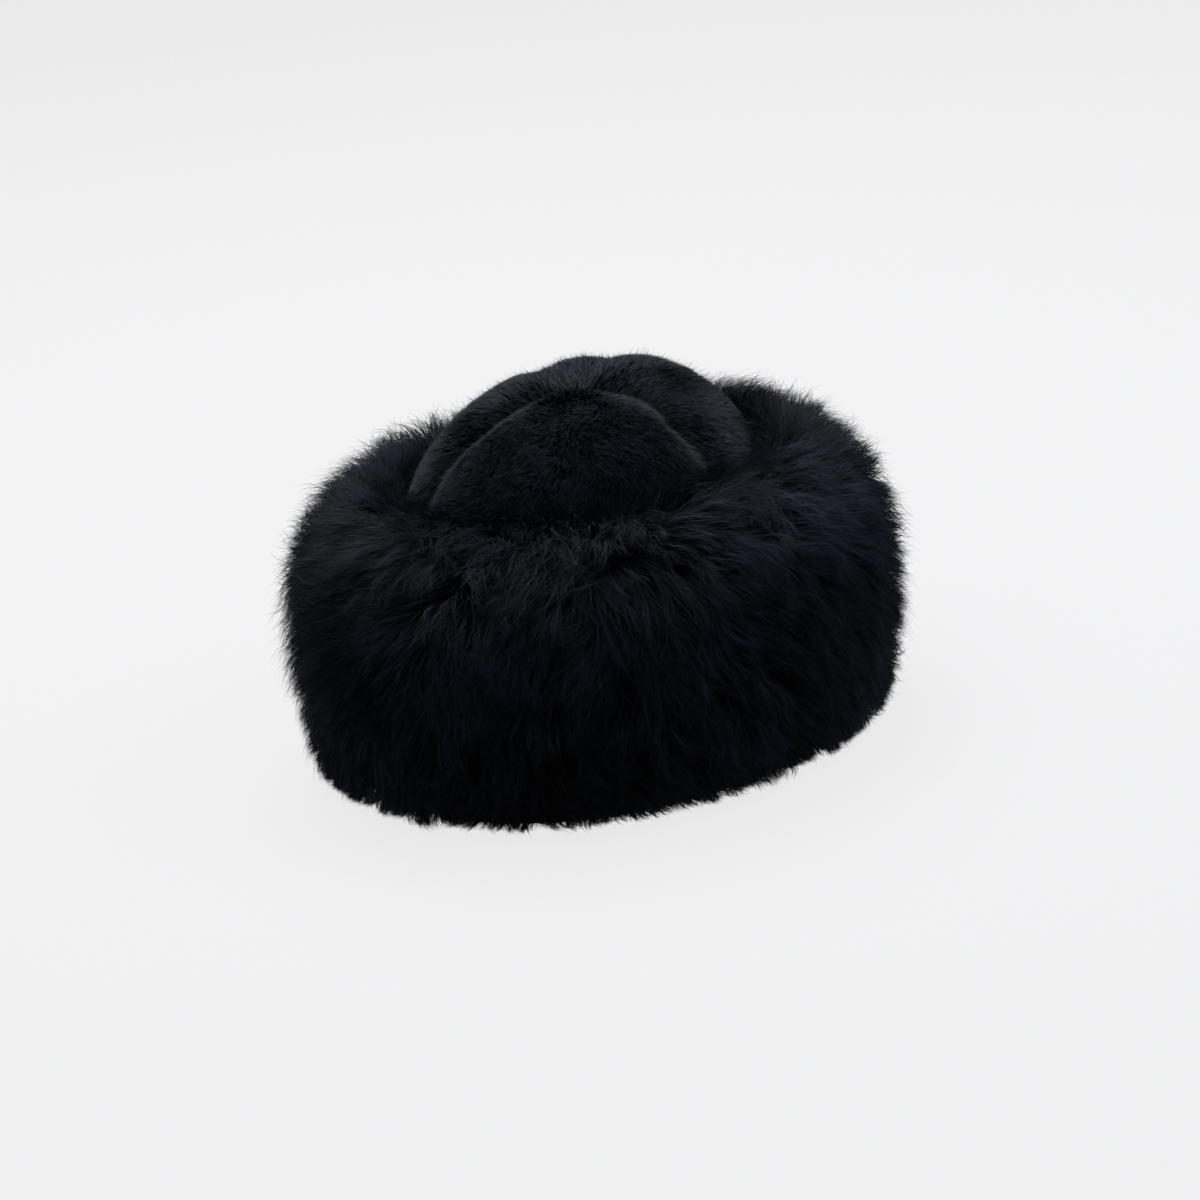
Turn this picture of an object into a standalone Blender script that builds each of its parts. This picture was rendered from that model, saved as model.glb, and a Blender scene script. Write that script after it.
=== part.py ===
"""A winter hat of alpaca fur: a deep fur band round the head and a low crown of four short-pile gores.

Metres, +Z up. The hat rests on its rim on the plane z = 0, and the origin is under its centre.
The front faces -Y and the wearer's left is +X. The gores meet at a front, a back and two side seams,
and the front left gore is the largest.
"""

import math
import random

import bmesh
import bpy
from mathutils import Vector

# The head opening, an oval of about 57.5 cm round
OPENING_WIDTH = 0.166
OPENING_LENGTH = 0.198

# The fur band
BAND_HEIGHT = 0.121
FUR_DEPTH = 0.0435
LIP_HEIGHT = 0.102
LIP_WALL = 0.0012
ROLL_OVERHANG = 0.0024
ROLL_HEIGHT = 0.1205
LOCKS_ROUND = 30
LOCK_ROWS = 7
LOCK_LIFT = 0.0055
LOCK_REACH = 0.0085
LOCK_SWAY = 0.0045
LOCK_SEED = 11

# How far single locks differ from LOCK_LIFT and LOCK_REACH, as shares of them,
# and the shares of both that a lock has at each level from its root to its point
LEAST_LIFT = 0.7
MOST_LIFT = 1.15
LEAST_REACH = 0.7
MOST_REACH = 1.1
LIFT_ALONG_LOCK = (0.0, 0.6, 1.0)
REACH_ALONG_LOCK = (0.0, 0.4, 1.0)

# The crown and its seat on the band's inner edge
CROWN_HEIGHT = 0.164
CROWN_WALL = 0.0075
SEAT_HEIGHT = 0.093
SEAT_DEPTH = 0.007
SEAT_TAPER = 0.015
TAPER_START = 0.045
TAPER_CURVE = 1.5
SEAM_DEPTH = 0.0105
SEAM_WIDTH = 0.008
SEAM_SHARPNESS = 1.4
DOME_FULLNESS = 2.3
DOME_ROUNDING = 1.7
SKIRT_HEIGHT = 0.004
CLEARANCE = 0.0004

# The two seams beside the front left gore are turned away from it, in degrees, and are the deep ones.
# The other two have this share of SEAM_DEPTH, and the change lies over this share of the half width.
LEFT_SEAM_TURN = 10
FRONT_SEAM_TURN = 18
FAR_SEAM_SHARE = 0.4
SEAM_CHANGE = 0.15

# Toward the crown's edge the seams lose this share of their depth and the swellings all of theirs,
# along these powers of the way out
EDGE_SEAM_LOSS = 0.75
EDGE_SEAM_POWER = 3
EDGE_FORM_POWER = 6

# Mesh steps
STATIONS_PER_LOCK = 4
LEVELS_PER_LOCK = 3
GORE_STEPS = 12
HEM_STEPS = 2
INNER_WALL_STEPS = 3
STEPS_PER_KNOT = 40
WELD_DISTANCE = 0.00002
SLOPE_STEP = 0.002
LEVEL_FROM = 0.995

# The band's outer form, from the roll beside the crown over the top and down to the floor.
# out is a share of FUR_DEPTH, up a share of BAND_HEIGHT.
BAND_SECTION = (
    {"place": "top", "out": 0.1, "up": 1.035},
    {"place": "outer top", "out": 0.46, "up": 0.98},
    {"place": "shoulder", "out": 0.8, "up": 0.86},
    {"place": "upper cheek", "out": 0.95, "up": 0.72},
    {"place": "cheek", "out": 1.0, "up": 0.48},
    {"place": "lower cheek", "out": 0.985, "up": 0.22},
    {"place": "foot", "out": 0.92, "up": 0.045},
    {"place": "floor edge", "out": 0.76, "up": 0.0},
)

# Places where the band's fur is pressed in or stands fuller.
# angle and spread are in degrees round the hat, up and reach shares of BAND_HEIGHT, rise of FUR_DEPTH.
BAND_FORMS = (
    {"form": "tucked foot", "angle": 225, "spread": 34, "up": 0.0, "reach": 0.42, "rise": -0.16},
    {"form": "full shoulder", "angle": 40, "spread": 30, "up": 0.9, "reach": 0.3, "rise": 0.08},
)

# Swellings and dents of the gores. x and y are shares of the crown's half width and half length,
# reach a share of its half width, and rise a share of SEAM_DEPTH.
CROWN_FORMS = (
    {"form": "upper lobe over the left seam", "x": 0.56, "y": -0.1, "reach": 0.2, "rise": 0.35},
    {"form": "lower lobe over the left seam", "x": 0.84, "y": -0.12, "reach": 0.17, "rise": 0.4},
    {"form": "hollow behind the left seam", "x": 0.66, "y": 0.2, "reach": 0.22, "rise": -0.35},
    {"form": "lobe over the front seam", "x": 0.1, "y": -0.8, "reach": 0.2, "rise": 0.3},
    {"form": "crest of the back", "x": 0.1, "y": 0.35, "reach": 0.35, "rise": 0.2},
    {"form": "full back left gore", "x": 0.45, "y": 0.5, "reach": 0.3, "rise": 0.22},
)

GORES = (
    {"name": "crown_gore_front_left", "x_side": 1, "y_side": -1},
    {"name": "crown_gore_front_right", "x_side": -1, "y_side": -1},
    {"name": "crown_gore_back_left", "x_side": 1, "y_side": 1},
    {"name": "crown_gore_back_right", "x_side": -1, "y_side": 1},
)


def clear_scene():
    for thing in list(bpy.data.objects):
        bpy.data.objects.remove(thing)


def pile_material(name, colour, roughness):
    """Fur as one matt surface, with no metal in it."""
    material = bpy.data.materials.new(name)
    material.use_nodes = True
    shader = material.node_tree.nodes["Principled BSDF"]
    shader.inputs["Base Color"].default_value = (*colour, 1.0)
    shader.inputs["Roughness"].default_value = roughness
    shader.inputs["Metallic"].default_value = 0.0
    material.diffuse_color = (*colour, 1.0)
    return material


def oval_point(angle, out, up):
    """The point that lies out metres outside the head opening's oval, at that height."""
    half_width = OPENING_WIDTH / 2
    half_length = OPENING_LENGTH / 2
    normal = Vector((math.cos(angle) / half_width, math.sin(angle) / half_length, 0.0)).normalized()
    return Vector((half_width * math.cos(angle), half_length * math.sin(angle), up)) + normal * out


def mapped_grid(name, columns, rows, place):
    """A grid primitive whose points move to place(column, row), with its meeting edges welded."""
    mesh = bpy.data.meshes.new(name)
    shape = bmesh.new()
    bmesh.ops.create_grid(shape, x_segments=columns, y_segments=rows, size=1.0)
    for point in shape.verts:
        column = round((point.co.x + 1) / 2 * columns)
        row = round((point.co.y + 1) / 2 * rows)
        point.co = place(column, row)
    bmesh.ops.remove_doubles(shape, verts=shape.verts, dist=WELD_DISTANCE)
    bmesh.ops.recalc_face_normals(shape, faces=shape.faces)
    shape.to_mesh(mesh)
    shape.free()
    return mesh


def smooth_curve(points, share):
    """A point on the smooth curve through the given points, at that share of their count."""
    span = share * (len(points) - 1)
    first = min(int(span), len(points) - 2)
    step = span - first
    before = points[max(first - 1, 0)]
    start = points[first]
    end = points[first + 1]
    after = points[min(first + 2, len(points) - 1)]
    return (
        start
        + (end - before) * 0.5 * step
        + (before * 2 - start * 5 + end * 4 - after) * 0.5 * step**2
        + (start * 3 - before - end * 3 + after) * 0.5 * step**3
    )


def outer_section(count):
    """count + 1 points (out, up), evenly spaced along the band's outer form, from the lip to the floor."""
    seat_edge = SEAT_DEPTH - SEAT_TAPER
    knots = [Vector((seat_edge + LIP_WALL, LIP_HEIGHT)), Vector((seat_edge - ROLL_OVERHANG, ROLL_HEIGHT))]
    knots += [Vector((row["out"] * FUR_DEPTH, row["up"] * BAND_HEIGHT)) for row in BAND_SECTION]
    fine_steps = STEPS_PER_KNOT * len(knots)
    fine = [smooth_curve(knots, step / fine_steps) for step in range(fine_steps + 1)]
    walked = [0.0]
    for start, end in zip(fine, fine[1:]):
        walked.append(walked[-1] + (end - start).length)
    points = []
    place = 0
    for number in range(count + 1):
        wanted = walked[-1] * number / count
        while place < len(fine) - 2 and walked[place + 1] < wanted:
            place += 1
        share = (wanted - walked[place]) / (walked[place + 1] - walked[place])
        points.append(fine[place].lerp(fine[place + 1], min(share, 1.0)))
    return points


def band_swelling(angle, up):
    """How far the band's forms move its outer surface out at this angle and height."""
    total = 0.0
    for row in BAND_FORMS:
        turn = math.remainder(angle - math.radians(row["angle"]), math.tau) / math.radians(row["spread"])
        climb = (up / BAND_HEIGHT - row["up"]) / row["reach"]
        total += row["rise"] * math.exp(-(turn**2) - climb**2)
    return total * FUR_DEPTH


def make_band(material):
    """The fur band: overlapping rows of locks, fused to a solid ring with a plain inner wall."""
    stations = LOCKS_ROUND * STATIONS_PER_LOCK
    outer_levels = LOCK_ROWS * LEVELS_PER_LOCK
    outer = outer_section(outer_levels)
    hem_start = outer[-1].x
    inner = [Vector((hem_start * (1 - step / HEM_STEPS), 0.0)) for step in range(1, HEM_STEPS + 1)]
    inner.append(Vector((0.0, TAPER_START)))
    for step in range(1, INNER_WALL_STEPS + 1):
        share = step / INNER_WALL_STEPS
        rise = TAPER_START + (SEAT_HEIGHT - TAPER_START) * share
        inner.append(Vector((-SEAT_TAPER * share**TAPER_CURVE, rise)))
    inner.append(Vector((SEAT_DEPTH - SEAT_TAPER, SEAT_HEIGHT)))
    chance = random.Random(LOCK_SEED)
    locks = {
        (row, lock): (
            chance.uniform(LEAST_LIFT, MOST_LIFT),
            chance.uniform(LEAST_REACH, MOST_REACH),
            chance.uniform(-1, 1),
        )
        for row in range(LOCK_ROWS)
        for lock in range(LOCKS_ROUND)
    }
    last_level = outer_levels + len(inner) + 1

    def place(station, level):
        angle = math.tau * station / stations
        if level == last_level:
            level = 0
        if level > outer_levels:
            point = inner[level - outer_levels - 1]
            return oval_point(angle, point.x, point.y)
        row, phase = divmod(level, LEVELS_PER_LOCK)
        point = outer[level]
        ahead = outer[min(level + 1, outer_levels)] - outer[max(level - 1, 0)]
        along = ahead.normalized()
        outward = Vector((-along.y, along.x))
        lift = -LOCK_LIFT
        reach = 0.0
        sway = 0.0
        if row < LOCK_ROWS:
            across = station / STATIONS_PER_LOCK + 0.5 * (row % 2)
            lock = int(across) % LOCKS_ROUND
            off_middle = abs(2 * (across - int(across)) - 1)
            lift_share, reach_share, sway_share = locks[row, lock]
            lift += LOCK_LIFT * lift_share * LIFT_ALONG_LOCK[phase] * (1 - off_middle**2)
            point_share = REACH_ALONG_LOCK[phase] * (1 - off_middle)
            reach = LOCK_REACH * reach_share * point_share
            sway = LOCK_SWAY * sway_share * point_share
        rim_fade = min(1.0, level / LEVELS_PER_LOCK, outer_levels - level)
        moved = point + outward * lift * rim_fade + along * reach
        out = moved.x + band_swelling(angle, moved.y)
        turn = sway / (OPENING_LENGTH / 2 + FUR_DEPTH)
        return oval_point(angle + turn, out, max(moved.y, 0.0))

    mesh = mapped_grid("fur_band", stations, last_level, place)
    return add_part("fur_band", mesh, material)


def dome_point(x, y):
    """The crown's smooth outer form over the plan point that lies at these shares of its half sizes."""
    reach = SEAT_DEPTH - SEAT_TAPER - CLEARANCE
    half_width = OPENING_WIDTH / 2 + reach
    half_length = OPENING_LENGTH / 2 + reach
    base = SEAT_HEIGHT + CLEARANCE + SKIRT_HEIGHT
    roundness = max(0.0, 1 - math.hypot(x, y) ** DOME_FULLNESS) ** (1 / DOME_ROUNDING)
    return Vector((half_width * x, half_length * y, base + (CROWN_HEIGHT - base) * roundness))


def dome_normal(x, y):
    """The outward direction of the crown's smooth form, level at its base."""
    radius = math.hypot(x, y)
    if radius > LEVEL_FROM:
        return Vector((x / OPENING_WIDTH, y / OPENING_LENGTH, 0.0)).normalized()
    along_x = dome_point(x + SLOPE_STEP, y) - dome_point(x - SLOPE_STEP, y)
    along_y = dome_point(x, y + SLOPE_STEP) - dome_point(x, y - SLOPE_STEP)
    return along_x.cross(along_y).normalized()


def seam_share(nearness):
    """The share of SEAM_DEPTH that a seam has at this place along it, full beside the front left gore."""
    near = 0.5 + 0.5 * math.tanh(nearness / SEAM_CHANGE)
    return FAR_SEAM_SHARE + (1 - FAR_SEAM_SHARE) * near


def crown_relief(x, y):
    """How far the crown stands out from its smooth form: down into the seams, up and down in its forms."""
    half_width = OPENING_WIDTH / 2
    half_length = OPENING_LENGTH / 2
    beside_x_seam = seam_share(x) * math.exp(-(abs(y * half_length / SEAM_WIDTH) ** SEAM_SHARPNESS))
    beside_y_seam = seam_share(-y) * math.exp(-(abs(x * half_width / SEAM_WIDTH) ** SEAM_SHARPNESS))
    valley = 1 - (1 - beside_x_seam) * (1 - beside_y_seam)
    radius = math.hypot(x, y)
    relief = -valley * (1 - EDGE_SEAM_LOSS * radius**EDGE_SEAM_POWER)
    for row in CROWN_FORMS:
        away = math.hypot(x - row["x"], y - row["y"]) / row["reach"]
        relief += row["rise"] * math.exp(-(away**2)) * (1 - radius**EDGE_FORM_POWER)
    return relief * SEAM_DEPTH


def turned(x, y):
    """The plan shares with the seams turned away from the large front left gore."""
    angle = math.atan2(y, x)
    angle += math.radians(LEFT_SEAM_TURN * math.cos(angle) + FRONT_SEAM_TURN * math.sin(angle))
    radius = math.hypot(x, y)
    return radius * math.cos(angle), radius * math.sin(angle)


def make_gore(name, x_side, y_side, material):
    """A quarter of the crown, from its two seams to the seat, thickened inwards to CROWN_WALL."""
    plan_steps = GORE_STEPS - 1

    def place(column, row):
        across = min(column, plan_steps) / plan_steps
        back = min(row, plan_steps) / plan_steps
        x = x_side * across * math.sqrt(1 - back**2 / 2)
        y = y_side * back * math.sqrt(1 - across**2 / 2)
        relief = crown_relief(x, y)
        x, y = turned(x, y)
        middle_x, middle_y = turned(x_side * 0.5, y_side * 0.5)
        point = dome_point(x, y) + dome_normal(x, y) * relief
        point += Vector((middle_x, middle_y, 0.0)).normalized() * CLEARANCE
        if max(column, row) == GORE_STEPS:
            point.z -= SKIRT_HEIGHT
        return point

    mesh = mapped_grid(name, GORE_STEPS, GORE_STEPS, place)
    gore = add_part(name, mesh, material)
    if sum((face.normal.z for face in mesh.polygons)) < 0:
        mesh.flip_normals()
    wall = gore.modifiers.new("wall", "SOLIDIFY")
    wall.thickness = CROWN_WALL
    wall.offset = -1.0
    return gore


def add_part(name, mesh, material):
    part = bpy.data.objects.new(name, mesh)
    mesh.materials.append(material)
    mesh.shade_smooth()
    bpy.data.collections["fur_hat"].objects.link(part)
    return part


def main():
    clear_scene()
    bpy.context.scene.collection.children.link(bpy.data.collections.new("fur_hat"))
    long_pile = pile_material("long_pile", (0.012, 0.013, 0.019), 0.75)
    short_pile = pile_material("short_pile", (0.014, 0.015, 0.020), 0.85)
    make_band(long_pile)
    for gore in GORES:
        make_gore(gore["name"], gore["x_side"], gore["y_side"], short_pile)


main()
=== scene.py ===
"""Looks of the alpaca fur hat: long swept locks round the band and short dense pile on the crown's gores.

The fur is made of tapering ribbons, grown in locks over the forms of the model. Metres, +Z up, and the
front of the hat faces -Y. Every strand's map place says how light it is, across, and how near its tip, up.
"""

import math

import bpy
import numpy as np
from mathutils import Matrix, Vector


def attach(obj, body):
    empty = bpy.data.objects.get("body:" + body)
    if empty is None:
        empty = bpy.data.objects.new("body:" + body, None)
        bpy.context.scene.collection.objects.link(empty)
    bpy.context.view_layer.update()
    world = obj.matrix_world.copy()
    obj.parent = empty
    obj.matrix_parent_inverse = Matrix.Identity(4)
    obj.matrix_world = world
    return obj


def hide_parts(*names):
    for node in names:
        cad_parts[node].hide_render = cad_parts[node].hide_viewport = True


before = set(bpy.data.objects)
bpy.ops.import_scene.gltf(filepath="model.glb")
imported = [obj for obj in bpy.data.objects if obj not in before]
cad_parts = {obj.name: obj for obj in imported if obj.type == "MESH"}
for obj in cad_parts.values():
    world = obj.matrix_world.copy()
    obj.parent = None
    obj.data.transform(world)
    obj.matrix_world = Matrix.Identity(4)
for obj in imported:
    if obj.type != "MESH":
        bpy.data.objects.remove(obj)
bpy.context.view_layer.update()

# Sizes that the fur shares with the model
OPENING_WIDTH = 0.166
OPENING_LENGTH = 0.198
FUR_DEPTH = 0.0435
BAND_HEIGHT = 0.121
SEAT_HEIGHT = 0.093
SEAT_DEPTH = 0.007
SEAT_TAPER = 0.015
TAPER_START = 0.045
TAPER_CURVE = 1.5
CROWN_HEIGHT = 0.164
CROWN_BASE = 0.0974
CROWN_WALL = 0.0075
CROWN_REACH = -0.0084
SKIRT_HEIGHT = 0.004
LEFT_SEAM_TURN = 10
FRONT_SEAM_TURN = 18
FAR_SEAM_SHARE = 0.4
SEAM_CHANGE = 0.15
SEAM_DEPTH = 0.0105
SEAM_WIDTH = 0.008
SEAM_SHARPNESS = 1.4
EDGE_SEAM_LOSS = 0.75
EDGE_SEAM_POWER = 3
EDGE_FORM_POWER = 6
DOME_FULLNESS = 2.3
DOME_ROUNDING = 1.7
SLOPE_STEP = 0.004

# The band's outer form. out is a share of FUR_DEPTH, up a share of BAND_HEIGHT.
BAND_SECTION = (
    {"place": "lip", "out": -0.155, "up": 0.845},
    {"place": "inner roll", "out": -0.24, "up": 0.996},
    {"place": "top", "out": 0.1, "up": 1.035},
    {"place": "outer top", "out": 0.46, "up": 0.98},
    {"place": "shoulder", "out": 0.8, "up": 0.86},
    {"place": "upper cheek", "out": 0.95, "up": 0.72},
    {"place": "cheek", "out": 1.0, "up": 0.48},
    {"place": "lower cheek", "out": 0.985, "up": 0.22},
    {"place": "foot", "out": 0.92, "up": 0.045},
    {"place": "floor edge", "out": 0.72, "up": 0.0},
)
CURVE_STEPS = 40
SECTION_POINTS = 240

# The hide ring under the band's fur. In its hem out is a share of FUR_DEPTH and rise is in metres.
SKIN_DEPTH = 0.012
HEM_RISE = 0.0045
HEM_SECTION = (
    {"place": "floor edge", "out": 0.4, "rise": 0.0},
    {"place": "middle", "out": 0.2, "rise": 0.0},
    {"place": "inner edge", "out": 0.03, "rise": 0.0},
    {"place": "foot of the inner wall", "out": 0.0, "rise": 0.0015},
)
HIDE_STATIONS = 180
HIDE_OUTER_STEPS = 44
HIDE_TAPER_STEPS = 8

# The band's locks and their strands. Lengths in metres, angles in degrees.
BAND_SECTORS = 4
BAND_LOCKS = 1500
BUNDLES_PER_LOCK = 6
STRANDS_PER_BUNDLE = 4
STRANDS_PER_LOCK = BUNDLES_PER_LOCK * STRANDS_PER_BUNDLE
STRAND_STEPS = 4
LOCK_RADIUS = 0.0052
LOCK_STRETCH = 1.25
BUNDLE_RADIUS = 0.0005
BAND_STRAND_WIDTH = 0.00030
STRAND_WIDTHS = (0.75, 1.3)
BAND_HAIR_LENGTH = 0.0225
CLUMPS = 640
VIEW_SIDE = 315

# Where locks are rooted, as shares of the way down the band, and the share of them moved to the foot
LAST_ROOT = 0.985
FOOT_FROM = 0.84
FOOT_SHARE = 0.14

# How the locks turn away from VIEW_SIDE, in degrees, and bend, in radians. The rest are shares.
SWEEP = 42
SWEEP_LOSS = 0.55
SWEEP_WAVES = 18
CLUMP_TURN = 14
LOCK_TURN = 7
BUNDLE_TURN = 6
STRAND_TURN = 2
CLUMP_BEND = 0.2
LOCK_BEND = 0.12
BUNDLE_BEND = 0.12
STRAND_BEND = 0.03
CLUMP_PULL = 0.2
CLUMP_STRETCH = 0.7

# How long the hair is and how far it lifts, as shares. The tables follow the way down the band.
LENGTH_WAVES = 0.2
LOCK_LENGTHS = (0.75, 1.15)
BUNDLE_LENGTHS = (0.76, 1.08)
STRAND_LENGTHS = (0.9, 1.04)
LENGTH_PLACES = (0, 0.12, 0.75, 0.9, 1)
LENGTH_SHARES = (0.8, 1.0, 0.9, 0.65, 0.5)
MEAN_LIFT = 1.08
CLUMP_LIFTS = (-0.18, 0.22)
LOCK_LIFTS = (-0.12, 0.12)
BUNDLE_LIFTS = (0.8, 1.12)
STRAND_LIFTS = (0.95, 1.05)
LIFT_PLACES = (0, 0.1, 0.3, 0.75, 0.92, 1)
LIFT_SHARES = (1.32, 1.24, 1.08, 0.92, 0.74, 0.55)

# How a lock gathers to its tip, most of all beside the crown, and the loose wisps that don't.
# WISP_LIFT is in metres and WISP_TURN in radians.
GATHER = (0.5, 0.85)
TOP_GATHER = 0.12
POINTED_START = 1.6
POINTED_LOSS = 4
WISP_SHARE = 0.2
WISP_GATHER = 0.15
WISP_LIFT = 0.0062
WISP_LOSS = 2.2
WISP_TURN = 0.3
WISP_WIDTH = 0.65

# The powers that shape a strand from its root to its tip, and its small changes. The waver and the step
# are in metres.
REACH_POWER = 1.15
GATHER_POWER = 1.4
PULL_POWER = 1.5
RISE_POWER = 1.45
LOCK_ROUNDING = 0.25
STRAND_WAVER = 0.0004
FACING_STEP = 0.01
FACING_CHANGE = 0.45

# Where the hair ends at the foot, in metres. PAST_FOOT and SPLAYS are shares.
FOOT_REACH = 0.018
FOOT_GAPS = (0.001, 0.013)
FOOT_HEIGHTS = (-0.004, 0.0008)
PAST_FOOT = 0.25
LOWEST_TIP = 0.0012
LOWEST_CHANGE = 0.0050
SPLAYS = (0.1, 0.7)

# Tones, from 0 to 1
MEAN_TONE = 0.26
TONE_WAVES = 0.18
CLUMP_TONE = 0.14
LOCK_TONE = 0.09
BUNDLE_TONE = 0.25
STRAND_TONE = 0.05

# Smooth random fields: how many waves, how many turns round the hat at most, and their length on the way
WAVE_RANGE = 1.6
SWEEP_FIELD = {"count": 9, "rings": 7, "length": 0.12}
TONE_FIELD = {"count": 10, "rings": 9, "length": 0.09}
LENGTH_FIELD = {"count": 10, "rings": 11, "length": 0.08}
SWIRL_FIELD = {"count": 9, "rings": 5, "length": 0.05}
PILE_TONE_FIELD = {"count": 9, "rings": 8, "length": 0.05}

# The crown's hide and the roots of its pile. Edges are shares of the crown's radius.
PILE_SKIN_DEPTH = 0.0045
ROOT_SINK = 0.0005
RIM_SKIN_RISE = 0.0040
RIM_SKIN_POWER = 8
GORE_HIDE_STEPS = 26
HIDE_EDGE = 0.995
PILE_EDGE = 0.985

# The crown's pile. Lengths in metres, swirls in radians, leans as shares.
PILE_LENGTH = 0.0070
PILE_TUFTS = 1200
PILE_PER_TUFT = 16
PILE_STRAND_WIDTH = 0.00032
PILE_WIDTHS = (0.8, 1.3)
TUFT_RADIUS = 0.0038
TUFT_LENGTHS = (0.88, 1.04)
PILE_LENGTHS = (0.85, 1.04)
PILE_GATHER = (-0.05, 0.2)
TUFT_LEANS = (0.55, 0.8)
STRAND_LEAN = 0.06
TOP_RADIUS = 0.4
TOP_LEAN = 0.6
LEVEL_SLOPE = 0.05
FIELD_TURNS = 2
FIELD_REACH = 0.1
SWIRL_WAVES = 0.8
TUFT_SWIRL = 0.2
STRAND_SWIRL = 0.15
PILE_STEPS = (0.0, 0.5, 1.0)
PILE_STAND = 0.75
PILE_DROOP = 0.35
SLIDE_POWER = 1.6
PILE_GATHER_POWER = 1.3

# Longer and straighter guard hairs in the pile
GUARD_LEAN = 0.35
GUARD_LENGTHS = (1.1, 1.6)
GUARD_WIDTH = 0.65

# Which way the pile faces, and how it is lit over the seams and lobes
FACING_LEAN = 0.5
PILE_FACING_CHANGE = 0.18
LIT_LEAN = 0.2
LIT_CHANGE = 0.16
RELIEF_STEP = 0.012
RELIEF_SHARE = 0.48
RELIEF_EDGE = 0.97
RELIEF_FADE = 0.05
EDGE_LIFT = 0.45
EDGE_LIFT_POWER = 4

# The pile's tones, with a painted highlight along the ridges and painted shade down in the seams. Places and
# widths of ridges are metres from a seam.
PILE_TONE_WAVES = 0.1
TUFT_TONE = 0.04
PILE_TONE = 0.05
RIDGE_PLACE = 0.009
RIDGE_WIDTH = 0.004
RIDGE_HIGHLIGHT = 0.05
SEAM_SHADE = 0.4

# Painted light and shade on the long fur: patches painted lighter stand for highlights and sheen, and
# patches painted darker for shade. angle and spread are degrees round the hat, way and reach shares of the
# way from the crown over the band to the floor, and lighter a share of the whole range of tones.
PAINTED_LIGHT_PATCHES = (
    {"patch": "left cheek", "angle": 263, "spread": 14, "way": 0.4, "reach": 0.28, "lighter": -0.3},
    {"patch": "left foot", "angle": 262, "spread": 12, "way": 0.78, "reach": 0.12, "lighter": 0.06},
    {"patch": "front streaks", "angle": 294, "spread": 11, "way": 0.46, "reach": 0.06, "lighter": 0.6},
    {"patch": "left side streaks", "angle": 338, "spread": 8, "way": 0.54, "reach": 0.08, "lighter": 0.6},
    {"patch": "left side foot", "angle": 358, "spread": 9, "way": 0.84, "reach": 0.14, "lighter": -0.22},
    {"patch": "sheen on the side", "angle": 16, "spread": 16, "way": 0.36, "reach": 0.12, "lighter": 0.36},
    {"patch": "under that sheen", "angle": 25, "spread": 10, "way": 0.64, "reach": 0.12, "lighter": -0.06},
    {"patch": "top of the band", "angle": 210, "spread": 25, "way": 0.16, "reach": 0.1, "lighter": 0.04},
    {"patch": "far top", "angle": 62, "spread": 34, "way": 0.2, "reach": 0.2, "lighter": -0.22},
    {"patch": "collar", "angle": 315, "spread": 50, "way": 0.1, "reach": 0.14, "lighter": -0.26},
    {"patch": "dark foot", "angle": 318, "spread": 26, "way": 0.84, "reach": 0.16, "lighter": -0.24},
    {"patch": "dark middle", "angle": 320, "spread": 9, "way": 0.56, "reach": 0.1, "lighter": -0.2},
    {"patch": "dark top", "angle": 307, "spread": 10, "way": 0.3, "reach": 0.05, "lighter": -0.15},
    {"patch": "dark side", "angle": 352, "spread": 7, "way": 0.42, "reach": 0.07, "lighter": -0.14},
)

# The gores' tones differ as painted light and shade on one pile: the back gores, on the crown's top, are
# painted lighter, most of all the back right.
GORES = (
    {"name": "crown_gore_front_left", "x_side": 1, "y_side": -1, "tone": 0.32, "guard": 0.0},
    {"name": "crown_gore_front_right", "x_side": -1, "y_side": -1, "tone": 0.3, "guard": 0.04},
    {"name": "crown_gore_back_left", "x_side": 1, "y_side": 1, "tone": 0.4, "guard": 0.04},
    {"name": "crown_gore_back_right", "x_side": -1, "y_side": 1, "tone": 0.6, "guard": 0.06},
)
CROWN_FORMS = (
    {"form": "upper lobe over the left seam", "x": 0.56, "y": -0.1, "reach": 0.2, "rise": 0.35},
    {"form": "lower lobe over the left seam", "x": 0.84, "y": -0.12, "reach": 0.17, "rise": 0.4},
    {"form": "hollow behind the left seam", "x": 0.66, "y": 0.2, "reach": 0.22, "rise": -0.35},
    {"form": "lobe over the front seam", "x": 0.1, "y": -0.8, "reach": 0.2, "rise": 0.3},
    {"form": "crest of the back", "x": 0.1, "y": 0.35, "reach": 0.35, "rise": 0.2},
    {"form": "full back left gore", "x": 0.45, "y": 0.5, "reach": 0.3, "rise": 0.22},
)

# Seeds of the random draws. The shared ones are the same for all sectors or gores.
BAND_SEED = 7
GORE_SEED = 107
GORE_SHARED_SEED = 106

# Ribbons: their taper, and where their places lie on the map
STRAND_TAPER = 0.78
TAPER_POWER = 1.6
TONES = 16
TOP_TONE = 0.999
MAP_HALF_WIDTH = 0.35
MAP_LOW = 0.02
MAP_SPAN = 0.96

# The least values that a length and a cross product are divided by
LEAST_LENGTH = 1e-9
LEAST_AREA = 1e-12

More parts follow.
